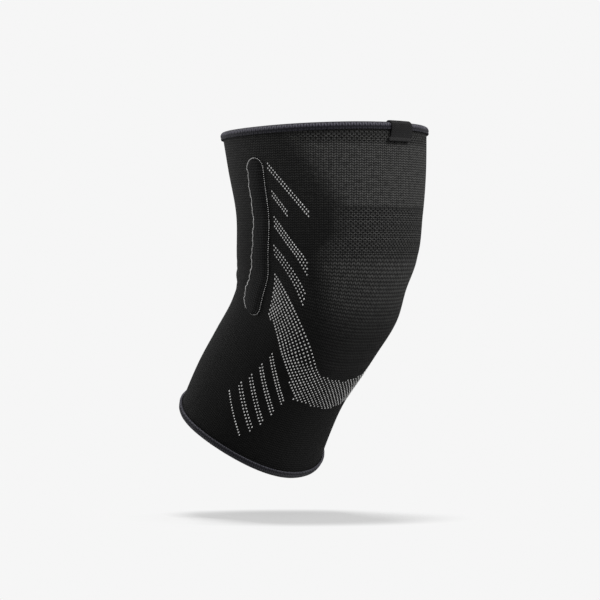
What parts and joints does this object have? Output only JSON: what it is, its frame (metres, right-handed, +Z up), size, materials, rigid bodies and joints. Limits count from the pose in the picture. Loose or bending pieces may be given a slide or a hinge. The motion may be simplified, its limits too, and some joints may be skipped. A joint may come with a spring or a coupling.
{
  "type": "knee sleeve",
  "caption": "Knitted knee support sleeve, bent as worn, open at thigh and calf, with folded edge bindings, a raised stay channel on each side and a woven label at the front.",
  "frame": {"origin": "the knee's middle inside the sleeve, where the middle lines of the thigh and the calf meet", "axes": "+Z up the thigh, -Y to the kneecap, -X to the side of the leg that shows in the picture; the calf runs down and back, turned 37 degrees about X"},
  "size_m": [0.1436, 0.193, 0.2547],
  "materials": {
    "knit": "near-black ribbed and open-mesh knit, matt",
    "binding": "violet-black fine ribbed elastic binding, matt",
    "channel_knit": "black plain knit over padding, matt",
    "label_weave": "black woven twill tape, matt",
    "pattern_yarn": "light grey knitted-in dots and stitches, matt"
  },
  "bodies": {
    "root": {"knit_sleeve": "knit", "top_hem": "binding", "bottom_hem": "binding", "outer_stay_channel": "channel_knit", "inner_stay_channel": "channel_knit", "hem_label": "label_weave"}
  },
  "joints": []
}
